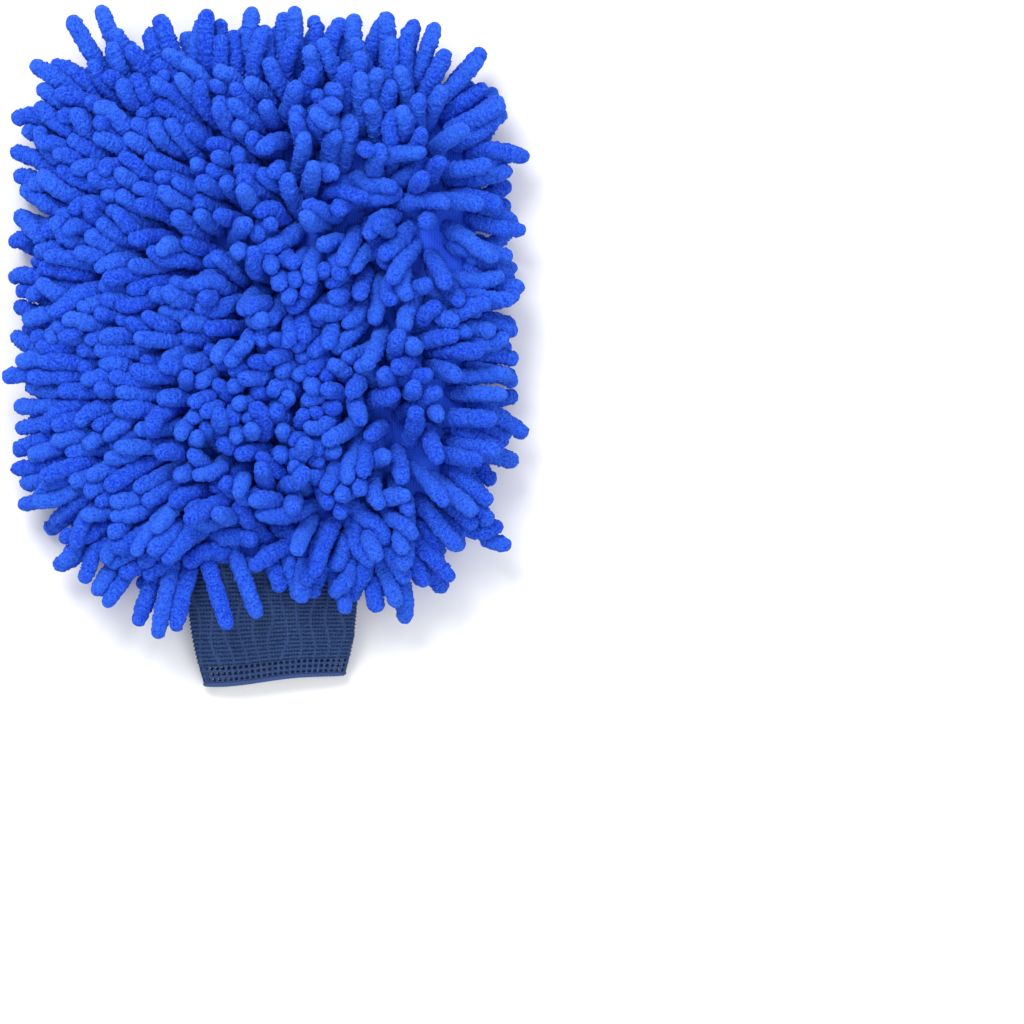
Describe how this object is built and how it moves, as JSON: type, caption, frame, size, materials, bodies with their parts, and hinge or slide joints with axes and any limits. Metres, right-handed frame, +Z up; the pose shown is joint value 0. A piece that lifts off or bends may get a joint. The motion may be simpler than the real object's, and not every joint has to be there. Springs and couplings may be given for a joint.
{
  "type": "wash mitt",
  "caption": "Chenille microfibre wash mitt: a cloth pouch with a hand pocket, piled with blue noodles on both faces, and an elastic knitted wrist cuff that folds at the mouth.",
  "frame": {"origin": "centre of the overall box's footprint, on the surface that the mitt lies on", "axes": "+Y runs from the cuff to the toe, +X across the mitt, +Z up through its thickness"},
  "size_m": [0.2404, 0.3144, 0.0574],
  "materials": {
    "chenille": "matt velvety royal-blue microfibre chenille",
    "ground_cloth": "matt royal-blue knitted microfibre cloth",
    "lining": "smooth blue polyester lining",
    "cuff_knit": "navy elastic rib knit",
    "seam_thread": "navy overlock thread"
  },
  "bodies": {
    "pouch": {"back_ground_cloth": "ground_cloth", "back_lining": "lining", "side_seam": "ground_cloth", "front_lining": "lining", "front_ground_cloth": "ground_cloth", "mouth_seam": "seam_thread", "front_chenille_row_01": "chenille", "back_chenille_row_01": "chenille", "front_chenille_row_02": "chenille", "back_chenille_row_02": "chenille", "front_chenille_row_03": "chenille", "back_chenille_row_03": "chenille", "front_chenille_row_04": "chenille", "back_chenille_row_04": "chenille", "front_chenille_row_05": "chenille", "back_chenille_row_05": "chenille", "front_chenille_row_06": "chenille", "back_chenille_row_06": "chenille", "front_chenille_row_07": "chenille", "back_chenille_row_07": "chenille", "front_chenille_row_08": "chenille", "back_chenille_row_08": "chenille", "front_chenille_row_09": "chenille", "back_chenille_row_09": "chenille", "front_chenille_row_10": "chenille", "back_chenille_row_10": "chenille", "front_chenille_row_11": "chenille", "back_chenille_row_11": "chenille", "front_chenille_row_12": "chenille", "back_chenille_row_12": "chenille", "front_chenille_row_13": "chenille", "back_chenille_row_13": "chenille", "front_chenille_row_14": "chenille", "back_chenille_row_14": "chenille", "front_chenille_row_15": "chenille", "back_chenille_row_15": "chenille", "front_chenille_row_16": "chenille", "back_chenille_row_16": "chenille", "front_chenille_row_17": "chenille", "back_chenille_row_17": "chenille", "front_chenille_row_18": "chenille", "back_chenille_row_18": "chenille", "front_chenille_row_19": "chenille", "back_chenille_row_19": "chenille", "front_chenille_row_20": "chenille", "back_chenille_row_20": "chenille"},
    "cuff": {"cuff_knit_tube": "cuff_knit", "cuff_mesh_band": "cuff_knit", "cuff_hem_edge": "cuff_knit", "cuff_side_seam": "seam_thread"}
  },
  "joints": [
    {"name": "cuff_fold", "type": "hinge", "parent": "pouch", "child": "cuff", "pos_m": [0, -0.1075, 0.0222], "axis": [-1, 0, 0], "range_deg": [-40, 50]}
  ]
}
